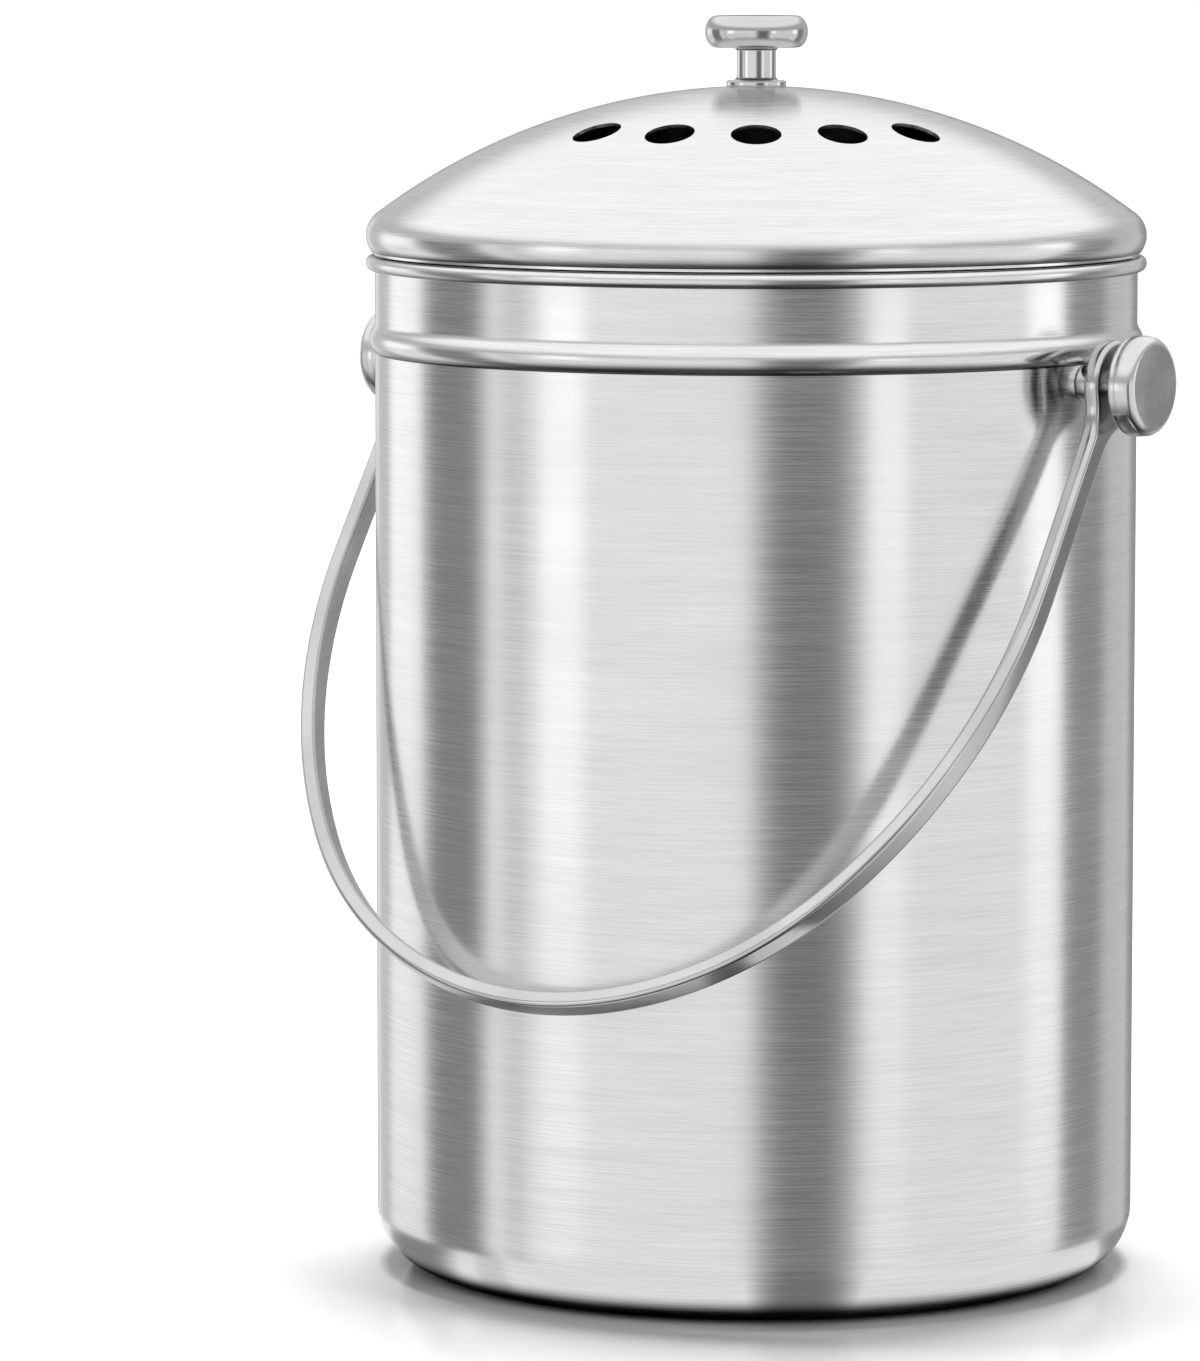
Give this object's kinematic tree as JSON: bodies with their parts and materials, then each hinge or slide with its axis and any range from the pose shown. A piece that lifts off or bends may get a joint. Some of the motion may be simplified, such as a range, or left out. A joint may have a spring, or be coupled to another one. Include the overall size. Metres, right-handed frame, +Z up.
{
  "type": "compost caddy",
  "caption": "Steel countertop compost caddy: drawn bucket, domed vented lid that lifts off with its charcoal filter pan, and a flat-bar bail that swings on side studs.",
  "frame": {"origin": "middle of the base, on the surface it stands on", "axes": "+Z up through the lid's knob, X along the bail's pivot axis, -Y towards the hanging bail"},
  "size_m": [0.2056, 0.1785, 0.2802],
  "materials": {
    "brushed_shell": "stainless sheet brushed around the axis",
    "brushed_lid": "stainless sheet brushed around the axis, lip polished",
    "brushed_pan": "stainless sheet with straight brushing, collar bright from drawing",
    "bail_steel": "polished flat bar",
    "polished_steel": "polished turned steel",
    "satin_steel": "satin face with a polished bevel",
    "knob_chrome": "mirror polished",
    "screw_steel": "plain stainless",
    "seal_rubber": "matt black",
    "charcoal_felt": "needled charcoal felt"
  },
  "bodies": {
    "caddy": {"body_shell": "brushed_shell", "left_pivot_bush": "polished_steel", "right_pivot_bush": "polished_steel", "left_pivot_knob": "satin_steel", "right_pivot_knob": "satin_steel", "left_pivot_screw": "screw_steel", "right_pivot_screw": "screw_steel", "left_seal_washer": "seal_rubber", "right_seal_washer": "seal_rubber"},
    "bail": {"bail": "bail_steel"},
    "lid": {"lid_dome": "brushed_lid", "lid_pan": "brushed_pan", "charcoal_filter": "charcoal_felt", "lid_knob": "knob_chrome", "knob_base": "knob_chrome", "knob_washer": "screw_steel", "knob_screw": "screw_steel"}
  },
  "joints": [
    {"name": "bail_swing", "type": "hinge", "parent": "caddy", "child": "bail", "pos_m": [0, 0, 0.2014], "axis": [-1, 0, 0], "range_deg": [0, 292.2]},
    {"name": "lid_lift", "type": "slide", "parent": "caddy", "child": "lid", "axis": [0, 0, 1], "range_m": [0, 0.12]}
  ]
}
